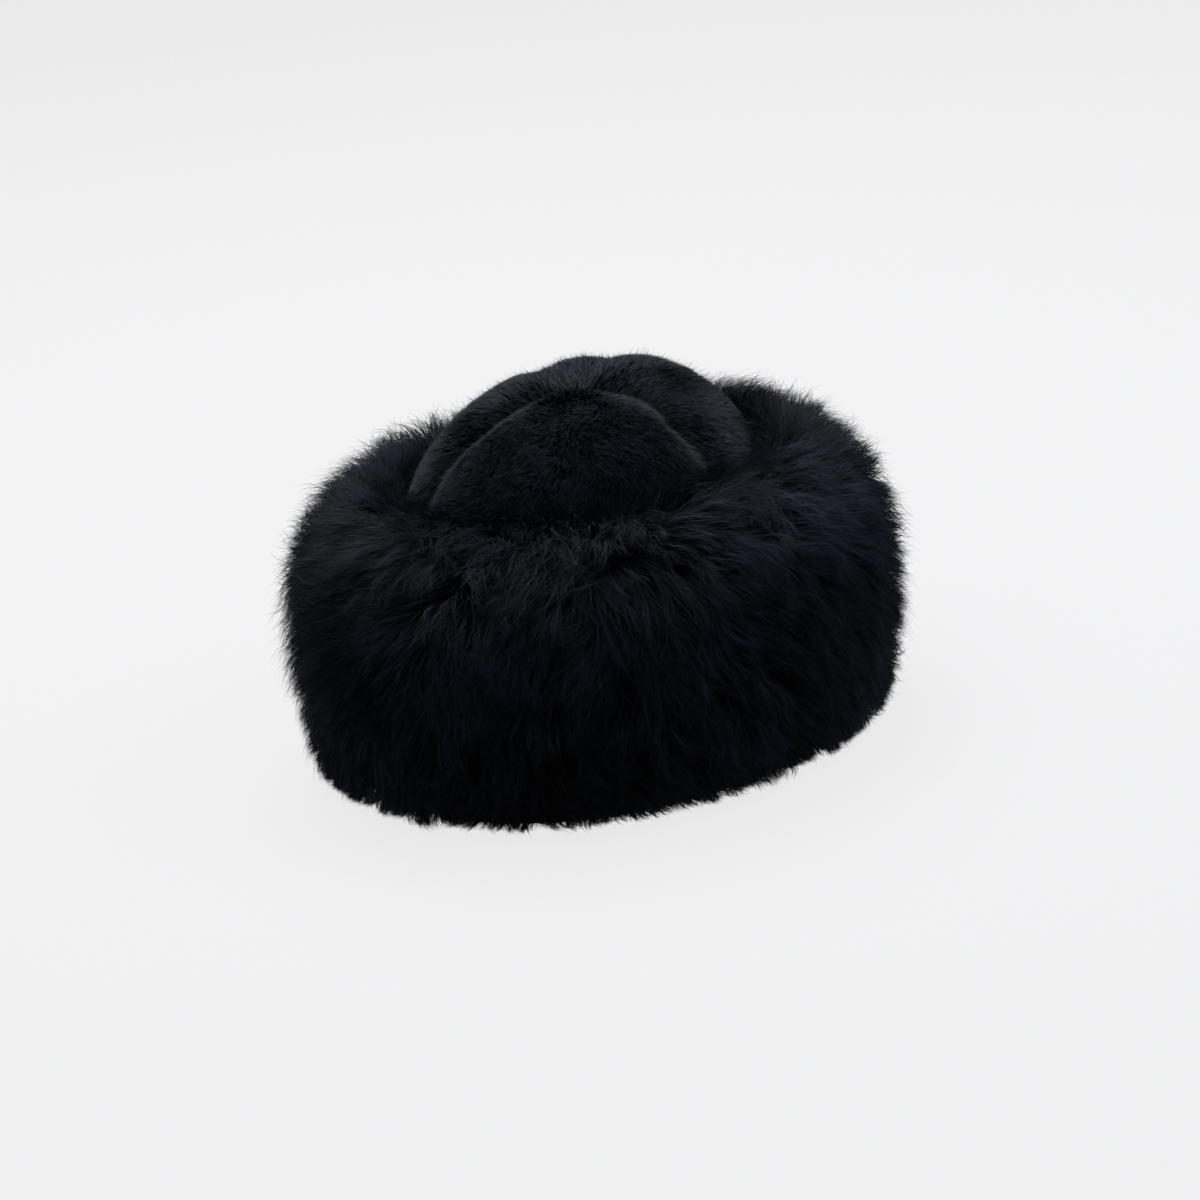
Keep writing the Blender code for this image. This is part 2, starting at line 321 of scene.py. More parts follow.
# Fur and hide materials
# Each fur's root colour is painted shade down among the hair, mixed toward its tip colour along the strand.
LONG_FUR = {
    "root": (0.0009, 0.0012, 0.0021),
    "tip": (0.0033, 0.0044, 0.0084),
    "sheen_tint": (0.72, 0.84, 1.0),
    "roughness": 0.6,
    "sheen": 0.02,
}
SHORT_FUR = {
    "root": (0.0011, 0.0014, 0.0024),
    "tip": (0.0023, 0.0036, 0.0076),
    "sheen_tint": (0.93, 0.96, 1.0),
    "roughness": 0.7,
    "sheen": 0.056,
}
UNDERCOAT = {
    "dark": (0.0009, 0.0012, 0.0021),
    "light": (0.0022, 0.0028, 0.0048),
    "scale": 60,
    "gloss": 0.0,
}
SUEDE = {
    "dark": (0.012, 0.012, 0.014),
    "light": (0.024, 0.024, 0.028),
    "scale": 35,
    "gloss": 0.1,
}
DARKEST_TONE = 0.15
LIGHTEST_TONE = 3.2
TIP_POWER = 1.4
FUR_GLOSS = 0.05
SHEEN_ROUGHNESS = 0.45
MOTTLE_DETAIL = 6
MOTTLE_DARK_TO = 0.35
MOTTLE_LIGHT_FROM = 0.7
GRAIN_SCALE = 900
GRAIN_STRENGTH = 0.4
GRAIN_DEPTH = 0.0006
HIDE_ROUGHNESS = 0.9

# The floor
FLOOR_HALF = 12.0
FLOOR_COLOUR = (0.03, 0.03, 0.03)
FLOOR_GLOW = (1, 1, 1.01)
FLOOR_GLOW_STRENGTH = 0.8

# The camera, and where it aims
CAMERA_DISTANCE = 1.5
CAMERA_AZIMUTH = 45
CAMERA_ELEVATION = 19.75
CAMERA_ROLL = 5.6
CAMERA_LENS = 101.25
CAMERA_SENSOR = 36
CAMERA_CLIP = (0.05, 50)
AIM_RIGHT = -0.0038
AIM_UP = 0.0533

# Lamps: turn is degrees from the camera's azimuth, elevation degrees, lengths metres and power watts
LAMPS = (
    {"name": "top_left", "turn": -70, "elevation": 62, "distance": 1.6, "size": 0.9, "power": 15,
     "colour": (1.0, 1.0, 1.0)},
    {"name": "right_side", "turn": 80, "elevation": 52, "distance": 1.5, "size": 0.8, "power": 22,
     "colour": (0.86, 0.92, 1.0)},
    {"name": "top_back", "turn": 190, "elevation": 62, "distance": 1.6, "size": 1.1, "power": 66,
     "colour": (0.97, 0.98, 1.0)},
)
LAMP_AIM = 0.08
WORLD_COLOUR = (0.83, 0.83, 0.84)
WORLD_STRENGTH = 0.2


def place_object(name, mesh):
    """A piece of the scene that shows this mesh."""
    piece = bpy.data.objects.new(name, mesh)
    bpy.context.scene.collection.objects.link(piece)
    return piece


def new_mesh_object(name, points, faces, material):
    """A smooth mesh piece from an array of points and a list or array of faces."""
    mesh = bpy.data.meshes.new(name)
    mesh.from_pydata(points.tolist() if hasattr(points, "tolist") else points, [], faces)
    mesh.update()
    mesh.shade_smooth()
    mesh.materials.append(material)
    return place_object(name, mesh)


def waves(chance, count, rings, length):
    """A smooth random field over the angle and the way along the fur, from -1 to 1 or so."""
    turns = chance.integers(1, rings + 1, count)
    steps = chance.normal(0, math.tau / length, count)
    phases = chance.uniform(0, math.tau, count)

    def field(angle, along):
        total = np.zeros(np.broadcast(angle, along).shape)
        for turn, step, phase in zip(turns, steps, phases):
            total = total + np.sin(turn * angle + step * along + phase)
        return total / math.sqrt(count / 2) / WAVE_RANGE

    return field


def angle_between(angle, middle):
    """The turn from middle to angle, from -pi to pi."""
    return np.mod(angle - middle + math.pi, math.tau) - math.pi


def smooth_curve(knots, count):
    """count points evenly spaced along a smooth curve through the knots, with the way walked to each."""
    knots = np.array(knots)
    padded = np.vstack([2 * knots[0] - knots[1], knots, 2 * knots[-1] - knots[-2]])
    step = np.linspace(0, 1, CURVE_STEPS, endpoint=False)[:, None]
    pieces = []
    for before, start, end, after in zip(padded, padded[1:], padded[2:], padded[3:]):
        pieces.append(
            start
            + (end - before) * 0.5 * step
            + (2 * before - 5 * start + 4 * end - after) * 0.5 * step**2
            + (3 * start - before - 3 * end + after) * 0.5 * step**3
        )
    fine = np.vstack(pieces + [knots[-1:]])
    walked = np.concatenate([[0], np.cumsum(np.linalg.norm(np.diff(fine, axis=0), axis=1))])
    way = np.linspace(0, walked[-1], count)
    return np.column_stack([np.interp(way, walked, fine[:, k]) for k in (0, 1)]), way


SECTION, SECTION_WAY = smooth_curve(
    [(row["out"] * FUR_DEPTH, row["up"] * BAND_HEIGHT) for row in BAND_SECTION], SECTION_POINTS
)
SECTION_AHEAD = np.gradient(SECTION, axis=0)
SECTION_AHEAD /= np.linalg.norm(SECTION_AHEAD, axis=1)[:, None]
SECTION_LENGTH = SECTION_WAY[-1]


def oval_place(angle, out):
    """x and y at this angle round the head opening, so far out from its edge."""
    across_x = np.cos(angle) / OPENING_WIDTH
    across_y = np.sin(angle) / OPENING_LENGTH
    size = np.hypot(across_x, across_y)
    x = OPENING_WIDTH / 2 * np.cos(angle) + across_x / size * out
    y = OPENING_LENGTH / 2 * np.sin(angle) + across_y / size * out
    return x, y


def band_place(angle, way, height):
    """The point at this angle round the hat and way down the band, so high over its outer form."""
    beyond = np.maximum(way - SECTION_LENGTH, 0)
    out = np.interp(way, SECTION_WAY, SECTION[:, 0])
    up = np.interp(way, SECTION_WAY, SECTION[:, 1])
    ahead_out = np.interp(way, SECTION_WAY, SECTION_AHEAD[:, 0])
    ahead_up = np.interp(way, SECTION_WAY, SECTION_AHEAD[:, 1])
    out = out - ahead_up * height + ahead_out * beyond
    up = up + ahead_out * height + ahead_up * beyond
    x, y = oval_place(angle, out)
    return np.stack(np.broadcast_arrays(x, y, up), axis=-1)


def band_girth(angle, way):
    """Metres round the band for each radian, near enough."""
    out = np.interp(way, SECTION_WAY, SECTION[:, 0])
    return np.hypot(OPENING_WIDTH / 2 * np.sin(angle), OPENING_LENGTH / 2 * np.cos(angle)) + out


def ribbon_points(paths, outward, widths):
    """The corners of tapering ribbons along paths: two for each step before the tip, and the tip."""
    strands, steps, _ = paths.shape
    along = np.gradient(paths, axis=1)
    side = np.cross(along, outward[:, None, :])
    side /= np.maximum(np.linalg.norm(side, axis=2), LEAST_LENGTH)[..., None]
    share = np.linspace(0, 1, steps)
    half = 0.5 * widths[:, None] * (1 - STRAND_TAPER * share**TAPER_POWER)[None, :]
    left = paths[:, :-1] - side[:, :-1] * half[:, :-1, None]
    right = paths[:, :-1] + side[:, :-1] * half[:, :-1, None]
    return np.concatenate([np.stack([left, right], 2).reshape(strands, -1, 3), paths[:, -1:]], 1)


def ribbon_map(mesh, steps, corners, tones):
    """Map every corner by its strand's tone, across, and by its share of the way to the tip, up."""
    per_strand = 2 * (steps - 1) + 1
    place_x = (np.floor(np.clip(tones, 0, TOP_TONE) * TONES) + 0.5) / TONES
    offset = MAP_HALF_WIDTH / TONES
    rise = MAP_LOW + MAP_SPAN * np.linspace(0, 1, steps)
    map_x = np.concatenate([np.tile([-offset, offset], steps - 1), [0]])
    map_y = np.concatenate([np.repeat(rise[:-1], 2), [rise[-1]]])
    corner_of = corners % per_strand
    strand_of = corners // per_strand
    places = np.column_stack([place_x[strand_of] + map_x[corner_of], map_y[corner_of]])
    layer = mesh.uv_layers.new(name="OFBake")
    layer.uv.foreach_set("vector", places.astype(np.float32).ravel())


def ribbons(name, paths, outward, widths, tones, material, shading=None):
    """One mesh of tapering ribbons along paths, strands by steps by three, facing roughly outward.

    Where shading is given, it holds the direction that each strand is lit as if it faced.
    """
    strands, steps, _ = paths.shape
    points = ribbon_points(paths, outward, widths)
    per_strand = points.shape[1]
    first = np.arange(strands)[:, None] * per_strand
    quads = [first + np.array([2 * k, 2 * k + 1, 2 * k + 3, 2 * k + 2]) for k in range(steps - 2)]
    last = 2 * (steps - 2)
    tips = first + np.array([last, last + 1, last + 2])
    corners = np.concatenate(quads + [tips], 1).ravel()
    sizes = np.tile([4] * (steps - 2) + [3], strands)
    starts = np.concatenate([[0], np.cumsum(sizes)[:-1]])
    mesh = bpy.data.meshes.new(name)
    mesh.vertices.add(strands * per_strand)
    mesh.vertices.foreach_set("co", points.astype(np.float32).ravel())
    mesh.loops.add(len(corners))
    mesh.loops.foreach_set("vertex_index", corners.astype(np.int32))
    mesh.polygons.add(len(sizes))
    mesh.polygons.foreach_set("loop_start", starts.astype(np.int32))
    ribbon_map(mesh, steps, corners, tones)
    mesh.update(calc_edges=True)
    mesh.validate()
    mesh.shade_smooth()
    if shading is not None:
        mesh.normals_split_custom_set_from_vertices(np.repeat(shading, per_strand, axis=0).tolist())
    mesh.materials.append(material)
    return place_object(name, mesh)


def new_material(name):
    """An empty node material, with its nodes, its links and its shader."""
    material = bpy.data.materials.new(name)
    material.use_nodes = True
    tree = material.node_tree
    return material, tree.nodes, tree.links, tree.nodes["Principled BSDF"]


def fur_material(name, root, tip, sheen_tint, roughness, sheen):
    """Near-black fibre: painted darker toward the root as painted shade down among the hair, lighter at the
    tip, and lighter in the higher tones.
    """
    material, nodes, links, shader = new_material(name)
    place = nodes.new("ShaderNodeUVMap")
    place.uv_map = "OFBake"
    split = nodes.new("ShaderNodeSeparateXYZ")
    links.new(place.outputs["UV"], split.inputs["Vector"])
    tone = nodes.new("ShaderNodeMapRange")
    tone.inputs["To Min"].default_value = DARKEST_TONE
    tone.inputs["To Max"].default_value = LIGHTEST_TONE
    links.new(split.outputs["X"], tone.inputs["Value"])
    along = nodes.new("ShaderNodeMix")
    along.data_type = "RGBA"
    along.inputs["A"].default_value = (*root, 1)
    along.inputs["B"].default_value = (*tip, 1)
    # painted shade toward the root
    toward_tip = nodes.new("ShaderNodeMath")
    toward_tip.operation = "POWER"
    toward_tip.inputs[1].default_value = TIP_POWER
    links.new(split.outputs["Y"], toward_tip.inputs[0])
    links.new(toward_tip.outputs["Value"], along.inputs["Factor"])
    scaled = nodes.new("ShaderNodeVectorMath")
    scaled.operation = "SCALE"
    links.new(along.outputs["Result"], scaled.inputs[0])
    links.new(tone.outputs["Result"], scaled.inputs["Scale"])
    links.new(scaled.outputs["Vector"], shader.inputs["Base Color"])
    shader.inputs["Roughness"].default_value = roughness
    shader.inputs["Specular IOR Level"].default_value = FUR_GLOSS
    shader.inputs["Specular Tint"].default_value = (*sheen_tint, 1)
    shader.inputs["Sheen Weight"].default_value = sheen
    shader.inputs["Sheen Roughness"].default_value = SHEEN_ROUGHNESS
    shader.inputs["Sheen Tint"].default_value = (*sheen_tint, 1)
    return material


def hide_material(name, dark, light, scale, gloss):
    """Matt undercoat or suede: soft mottling and a fine grain."""
    material, nodes, links, shader = new_material(name)
    place = nodes.new("ShaderNodeTexCoord")
    mottle = nodes.new("ShaderNodeTexNoise")
    mottle.inputs["Scale"].default_value = scale
    mottle.inputs["Detail"].default_value = MOTTLE_DETAIL
    links.new(place.outputs["Object"], mottle.inputs["Vector"])
    ramp = nodes.new("ShaderNodeValToRGB")
    ramp.color_ramp.elements[0].position = MOTTLE_DARK_TO
    ramp.color_ramp.elements[0].color = (*dark, 1)
    ramp.color_ramp.elements[1].position = MOTTLE_LIGHT_FROM
    ramp.color_ramp.elements[1].color = (*light, 1)
    links.new(mottle.outputs["Fac"], ramp.inputs["Fac"])
    links.new(ramp.outputs["Color"], shader.inputs["Base Color"])
    grain = nodes.new("ShaderNodeTexNoise")
    grain.inputs["Scale"].default_value = GRAIN_SCALE
    links.new(place.outputs["Object"], grain.inputs["Vector"])
    bump = nodes.new("ShaderNodeBump")
    bump.inputs["Strength"].default_value = GRAIN_STRENGTH
    bump.inputs["Distance"].default_value = GRAIN_DEPTH
    links.new(grain.outputs["Fac"], bump.inputs["Height"])
    links.new(bump.outputs["Normal"], shader.inputs["Normal"])
    shader.inputs["Roughness"].default_value = HIDE_ROUGHNESS
    shader.inputs["Specular IOR Level"].default_value = gloss
    return material


def make_band_hide(undercoat, suede):
    """The ring that the band's fur grows from: a skin under the fur, the rim and the plain inner wall."""
    angle = np.linspace(0, math.tau, HIDE_STATIONS, endpoint=False)[:, None]
    way = np.linspace(0, SECTION_LENGTH, HIDE_OUTER_STEPS)[None, :]
    outer = band_place(angle, way, np.full_like(way, -SKIN_DEPTH))
    outer[..., 2] = np.maximum(outer[..., 2], HEM_RISE)
    inner_section = [(row["out"] * FUR_DEPTH, row["rise"]) for row in HEM_SECTION]
    for step in range(HIDE_TAPER_STEPS + 1):
        share = step / HIDE_TAPER_STEPS
        up = TAPER_START + (SEAT_HEIGHT - TAPER_START) * share
        inner_section.append((-SEAT_TAPER * share**TAPER_CURVE, up))
    inner_section.append((SEAT_DEPTH - SEAT_TAPER, SEAT_HEIGHT))
    rings = []
    for out, up in inner_section:
        x, y = oval_place(angle, out)
        rings.append(np.concatenate([x, y, np.full_like(x, up)], 1))
    points = np.concatenate([outer, np.stack(rings, 1)], 1)
    levels = points.shape[1]
    faces = []
    slots = []
    for station in range(HIDE_STATIONS):
        here = station * levels
        there = (station + 1) % HIDE_STATIONS * levels
        for level in range(levels):
            up = (level + 1) % levels
            faces.append((here + level, there + level, there + up, here + up))
            slots.append(1 if HIDE_OUTER_STEPS <= level < levels - 1 else 0)
    hide = new_mesh_object("band_hide", points.reshape(-1, 3), faces, undercoat)
    hide.data.materials.append(suede)
    hide.data.polygons.foreach_set("material_index", slots)
    return hide


def fur_clumps(chance):
    """Places round the band where neighbouring locks lie together, and how each of these clumps lies."""
    return {
        "angle": chance.uniform(0, math.tau, CLUMPS),
        "way": chance.uniform(0, SECTION_LENGTH, CLUMPS),
        "turn": chance.normal(0, CLUMP_TURN, CLUMPS),
        "lift": chance.uniform(*CLUMP_LIFTS, CLUMPS),
        "bend": chance.normal(0, CLUMP_BEND, CLUMPS),
        "tone": chance.normal(0, CLUMP_TONE, CLUMPS),
    }


def nearest_clump(clumps, angle, way):
    """The number of the clump that is nearest to each of these places."""
    off = angle_between(angle[:, None], clumps["angle"][None, :])
    round_way = off * band_girth(angle, way)[:, None]
    down_way = (way[:, None] - clumps["way"][None, :]) * CLUMP_STRETCH
    return np.argmin(np.hypot(round_way, down_way), axis=1)


def painted_patch_light(angle, way):
    """How much lighter the named patches of painted light and shade make the fur that grows here."""
    total = np.zeros_like(angle)
    for row in PAINTED_LIGHT_PATCHES:
        turn = angle_between(angle, math.radians(row["angle"])) / math.radians(row["spread"])
        climb = (way / SECTION_LENGTH - row["way"]) / row["reach"]
        total += row["lighter"] * np.exp(-(turn**2) - climb**2)
    return total


def lock_shape(chance, count):
    """Offsets of count bundles or strands from the middle of their lock or tuft, as shares of its radius."""
    radius = np.sqrt(chance.uniform(0, 1, count))
    turn = chance.uniform(0, math.tau, count)
    return radius * np.cos(turn), radius * np.sin(turn)


def by_lock(values):
    """Each lock's value, for every strand of the lock."""
    return np.repeat(values, STRANDS_PER_LOCK)


def by_bundle(values):
    """Each bundle's value, for every strand of the bundle."""
    return np.repeat(values, STRANDS_PER_BUNDLE)


def by_tuft(values):
    """Each tuft's value, for every strand of the tuft."""
    return np.repeat(values, PILE_PER_TUFT)


def lay_locks(sector, chance, shared):
    """Where the locks of a quarter of the band grow, and how each lies."""
    sweep_field = waves(shared, **SWEEP_FIELD)
    tone_field = waves(shared, **TONE_FIELD)
    length_field = waves(shared, **LENGTH_FIELD)
    clumps = fur_clumps(shared)
    span = math.tau / BAND_SECTORS
    locks = BAND_LOCKS
    angle = sector * span + chance.uniform(0, span, locks)
    way = SECTION_LENGTH * chance.uniform(0.0, LAST_ROOT, locks)
    at_foot = chance.uniform(0, 1, locks) < FOOT_SHARE
    way = np.where(at_foot, SECTION_LENGTH * chance.uniform(FOOT_FROM, LAST_ROOT, locks), way)
    rank = way / SECTION_LENGTH
    clump = nearest_clump(clumps, angle, way)
    side = angle - math.radians(VIEW_SIDE)
    heading = np.radians(SWEEP) * np.sin(side) * (1.0 - SWEEP_LOSS * rank)
    waving = SWEEP_WAVES * sweep_field(angle, way) + clumps["turn"][clump]
    heading += np.radians(waving + chance.normal(0, LOCK_TURN, locks))
    length = BAND_HAIR_LENGTH * (1 + LENGTH_WAVES * length_field(angle, way))
    length *= chance.uniform(*LOCK_LENGTHS, locks)
    length *= np.interp(rank, LENGTH_PLACES, LENGTH_SHARES)
    lift = SKIN_DEPTH * (MEAN_LIFT + clumps["lift"][clump] + chance.uniform(*LOCK_LIFTS, locks))
    lift *= np.interp(rank, LIFT_PLACES, LIFT_SHARES)
    bend = clumps["bend"][clump] + chance.normal(0, LOCK_BEND, locks)
    lock_off = angle_between(angle, clumps["angle"][clump])
    return {
        "angle": angle,
        "way": way,
        "rank": rank,
        "heading": heading,
        "length": length,
        "lift": lift,
        "bend": bend,
        "to_clump": -CLUMP_PULL * lock_off * band_girth(angle, way),
        # the patches add painted light and shade to the fur's own tone waves
        "tone": MEAN_TONE + TONE_WAVES * tone_field(angle, way) + painted_patch_light(angle, way),
        "clump_tone": clumps["tone"][clump],
    }


def lay_strands(locks, chance):
    """How each strand of the locks differs from its lock."""
    bundles = BAND_LOCKS * BUNDLES_PER_LOCK
    strands = bundles * STRANDS_PER_BUNDLE
    bundle_round, bundle_down = lock_shape(chance, bundles)
    off_round = by_bundle(bundle_round * LOCK_RADIUS) + chance.normal(0, BUNDLE_RADIUS, strands)
    off_down = by_bundle(bundle_down * LOCK_RADIUS * LOCK_STRETCH) + chance.normal(0, BUNDLE_RADIUS, strands)
    wisp = chance.uniform(0, 1, strands) < WISP_SHARE
    rank = by_lock(locks["rank"])
    pointed = np.clip(POINTED_START - POINTED_LOSS * rank, 0, 1)
    lock_gather = chance.uniform(*GATHER, strands) + TOP_GATHER * pointed
    length = by_lock(locks["length"]) * by_bundle(chance.uniform(*BUNDLE_LENGTHS, bundles))
    length *= chance.uniform(*STRAND_LENGTHS, strands)
    lift = by_lock(locks["lift"]) * by_bundle(chance.uniform(*BUNDLE_LIFTS, bundles))
    lift *= chance.uniform(*STRAND_LIFTS, strands)
    wisp_lift = np.where(wisp, WISP_LIFT, 0) * chance.uniform(0, 1, strands)
    lift += wisp_lift * np.clip(WISP_LOSS - WISP_LOSS * rank, 0, 1)
    turn = by_bundle(chance.normal(0, BUNDLE_TURN, bundles)) + chance.normal(0, STRAND_TURN, strands)
    heading = by_lock(locks["heading"]) + np.radians(turn)
    heading += np.where(wisp, chance.normal(0, WISP_TURN, strands), 0)
    bend = by_lock(locks["bend"]) + by_bundle(chance.normal(0, BUNDLE_BEND, bundles))
    bend += chance.normal(0, STRAND_BEND, strands)
    return {
        "off_round": off_round,
        "off_down": off_down,
        "wisp": wisp,
        "gather": np.where(wisp & (pointed < 0.5), WISP_GATHER, lock_gather),
        "length": length,
        "lift": lift,
        "heading": heading,
        "bend": bend,
        "angle": by_lock(locks["angle"]),
        "way": by_lock(locks["way"]),
        "to_clump": by_lock(locks["to_clump"]),
        "foot": SECTION_LENGTH - chance.uniform(*FOOT_GAPS, strands),
        "foot_height": chance.uniform(*FOOT_HEIGHTS, strands),
    }


def strand_paths(own, chance):
    """The band's strands as paths of STRAND_STEPS points, kept off the floor."""
    strands = len(own["angle"])
    girth = band_girth(own["angle"], own["way"])
    foot = own["foot"]
    foot_height = own["foot_height"]
    paths = []
    for t in np.linspace(0, 1, STRAND_STEPS):
        reach = own["length"] * t**REACH_POWER
        turn = own["heading"] + own["bend"] * t
        shrink = 1 - own["gather"] * t**GATHER_POWER
        around = own["off_round"] * shrink + reach * np.sin(turn) + own["to_clump"] * t**PULL_POWER
        down = own["off_down"] * shrink + reach * np.cos(turn)
        height = -SKIN_DEPTH + own["lift"] * (1 - (1 - t) ** RISE_POWER)
        height -= LOCK_ROUNDING * abs(own["off_round"]) * t
        height += chance.normal(0, STRAND_WAVER, strands) * t
        reached = own["way"] + down
        near_foot = np.clip((SECTION_LENGTH - reached) / FOOT_REACH, 0, 1)
        height = np.where(height > foot_height, foot_height + (height - foot_height) * near_foot, height)
        reached = np.where(reached > foot, foot + (reached - foot) * PAST_FOOT, reached)
        paths.append(band_place(own["angle"] + around / girth, reached, height))
    paths = np.stack(paths, 1)
    lowest = LOWEST_TIP + LOWEST_CHANGE * chance.uniform(0, 1, strands)[:, None]
    splay = np.maximum(lowest - paths[..., 2], 0) * chance.uniform(*SPLAYS, strands)[:, None]
    paths[..., 0] += np.cos(own["angle"])[:, None] * splay
    paths[..., 1] += np.sin(own["angle"])[:, None] * splay
    paths[..., 2] = np.maximum(paths[..., 2], lowest)
    return paths


def grow_band_sector(sector, material):
    """A quarter of the band's long fur, swept out and down in locks."""
    chance = np.random.default_rng(BAND_SEED + sector)
    locks = lay_locks(sector, chance, np.random.default_rng(BAND_SEED))
    own = lay_strands(locks, chance)
    paths = strand_paths(own, chance)
    strands = len(paths)
    outward = band_place(own["angle"], own["way"], FACING_STEP) - band_place(own["angle"], own["way"], 0.0)
    outward /= np.linalg.norm(outward, axis=1)[:, None]
    outward += chance.normal(0, FACING_CHANGE, outward.shape)
    lock_tone = locks["tone"] + (locks["clump_tone"] + LOCK_TONE * chance.normal(0, 1, BAND_LOCKS))
    bundle_tone = chance.exponential(BUNDLE_TONE, BAND_LOCKS * BUNDLES_PER_LOCK) - BUNDLE_TONE
    tones = by_lock(lock_tone) + by_bundle(bundle_tone) + chance.normal(0, STRAND_TONE, strands)
    widths = BAND_STRAND_WIDTH * chance.uniform(*STRAND_WIDTHS, strands)
    widths *= np.where(own["wisp"], WISP_WIDTH, 1)
    return ribbons(f"band_fur_{sector + 1}", paths, outward, widths, tones, material)


def turned(x, y):
    """The plan shares with the seams turned away from the large front left gore."""
    angle = np.arctan2(y, x)
    angle = angle + np.radians(LEFT_SEAM_TURN * np.cos(angle) + FRONT_SEAM_TURN * np.sin(angle))
    radius = np.hypot(x, y)
    return radius * np.cos(angle), radius * np.sin(angle)


def seam_share(nearness):
    """The share of SEAM_DEPTH that a seam has here, full beside the front left gore."""
    near = 0.5 + 0.5 * np.tanh(nearness / SEAM_CHANGE)
    return FAR_SEAM_SHARE + (1 - FAR_SEAM_SHARE) * near


def unit(directions, least):
    """The same directions, one metre long."""
    return directions / np.maximum(np.linalg.norm(directions, axis=-1), least)[..., None]


def dome_place(x, y, height=0.0):
    """A point of the crown over the plan shares x and y, with its seams and swellings, raised by height."""
    half_width = OPENING_WIDTH / 2 + CROWN_REACH
    half_length = OPENING_LENGTH / 2 + CROWN_REACH

    def smooth(a, b):
        radius = np.minimum(np.hypot(a, b), 1)
        round_share = np.maximum(1 - radius**DOME_FULLNESS, 0) ** (1 / DOME_ROUNDING)
        up = CROWN_BASE + (CROWN_HEIGHT - CROWN_BASE) * round_share
        return np.stack([half_width * a, half_length * b, up], -1)

    over_x, over_y = turned(x, y)
    along_x = smooth(over_x + SLOPE_STEP, over_y) - smooth(over_x - SLOPE_STEP, over_y)
    along_y = smooth(over_x, over_y + SLOPE_STEP) - smooth(over_x, over_y - SLOPE_STEP)
    normal = unit(np.cross(along_x, along_y), LEAST_AREA)
    radius = np.hypot(x, y)
    beside_x = seam_share(x) * np.exp(-(abs(y * OPENING_LENGTH / 2 / SEAM_WIDTH) ** SEAM_SHARPNESS))
    beside_y = seam_share(-y) * np.exp(-(abs(x * OPENING_WIDTH / 2 / SEAM_WIDTH) ** SEAM_SHARPNESS))
    valley = 1 - (1 - beside_x) * (1 - beside_y)
    relief = -valley * (1 - EDGE_SEAM_LOSS * np.minimum(radius, 1) ** EDGE_SEAM_POWER)
    for row in CROWN_FORMS:
        away = np.hypot(x - row["x"], y - row["y"]) / row["reach"]
        relief = relief + row["rise"] * np.exp(-(away**2)) * (1 - np.minimum(radius, 1) ** EDGE_FORM_POWER)
    return smooth(over_x, over_y) + normal * (relief * SEAM_DEPTH + height)[..., None], normal


def relief_normal(x, y, normal):
    """The direction that the crown with its seams and lobes faces, and near its edge the plain one."""
    along_x = dome_place(x + RELIEF_STEP, y)[0] - dome_place(x - RELIEF_STEP, y)[0]
    along_y = dome_place(x, y + RELIEF_STEP)[0] - dome_place(x, y - RELIEF_STEP)[0]
    facing = unit(np.cross(along_x, along_y), LEAST_AREA)
    inside = np.clip((RELIEF_EDGE - np.hypot(x, y)) / RELIEF_FADE, 0, 1)[..., None]
    return facing * inside + normal * (1 - inside)


def make_gore_hide(gore, undercoat, suede):
    """One gore's hide: a skin under the pile, a plain inner face and closed edges."""
    steps = GORE_HIDE_STEPS
    level = np.minimum(np.arange(steps) / (steps - 2), 1)
    across, back = np.meshgrid(level, level, indexing="ij")
    x = gore["x_side"] * across * np.sqrt(1 - back**2 / 2) * HIDE_EDGE
    y = gore["y_side"] * back * np.sqrt(1 - across**2 / 2) * HIDE_EDGE
    skin = -PILE_SKIN_DEPTH + RIM_SKIN_RISE * np.hypot(x, y) ** RIM_SKIN_POWER
    outer, _ = dome_place(x, y, skin)
    inner, _ = dome_place(x, y, np.full_like(x, -CROWN_WALL))
    for layer in (outer, inner):
        layer[-1, :, 2] -= SKIRT_HEIGHT
        layer[:-1, -1, 2] -= SKIRT_HEIGHT
    count = steps * steps
    points = np.concatenate([outer.reshape(-1, 3), inner.reshape(-1, 3)])
    flip = gore["x_side"] * gore["y_side"] < 0
    faces = []
    slots = []

    def add(face, slot):
        faces.append(tuple(reversed(face)) if flip else face)
        slots.append(slot)

    for i in range(steps - 1):
        for j in range(steps - 1):
            a = i * steps + j
            b = a + steps
            c = b + 1
            d = a + 1
            add((a, b, c, d), 0)
            add((d + count, c + count, b + count, a + count), 1)
    edge = [(i, 0) for i in range(steps)] + [(steps - 1, j) for j in range(1, steps)]
    edge += [(i, steps - 1) for i in range(steps - 2, -1, -1)] + [(0, j) for j in range(steps - 2, 0, -1)]
    for (i, j), (k, m) in zip(edge, edge[1:] + edge[:1]):
        a = i * steps + j
        b = k * steps + m
        add((b, a, a + count, b + count), 0)
    hide = new_mesh_object(gore["name"] + "_hide", points, faces, undercoat)
    hide.data.materials.append(suede)
    hide.data.polygons.foreach_set("material_index", slots)
    return hide


def painted_seam_light(x, y):
    """Painted highlight on the pile along the ridges beside the deep seams, and painted shade on the pile
    down in them.
    """
    ridge = 0
    valley = 0
    for off, along in ((y * OPENING_LENGTH / 2, x), (x * OPENING_WIDTH / 2, -y)):
        beside = np.exp(-(((abs(off) - RIDGE_PLACE) / RIDGE_WIDTH) ** 2)) * seam_share(along)
        ridge = np.maximum(ridge, beside)
        valley = np.maximum(valley, np.exp(-((off / RIDGE_WIDTH) ** 2)) * seam_share(along))
    return RIDGE_HIGHLIGHT * ridge * (1 - valley) - SEAM_SHADE * valley


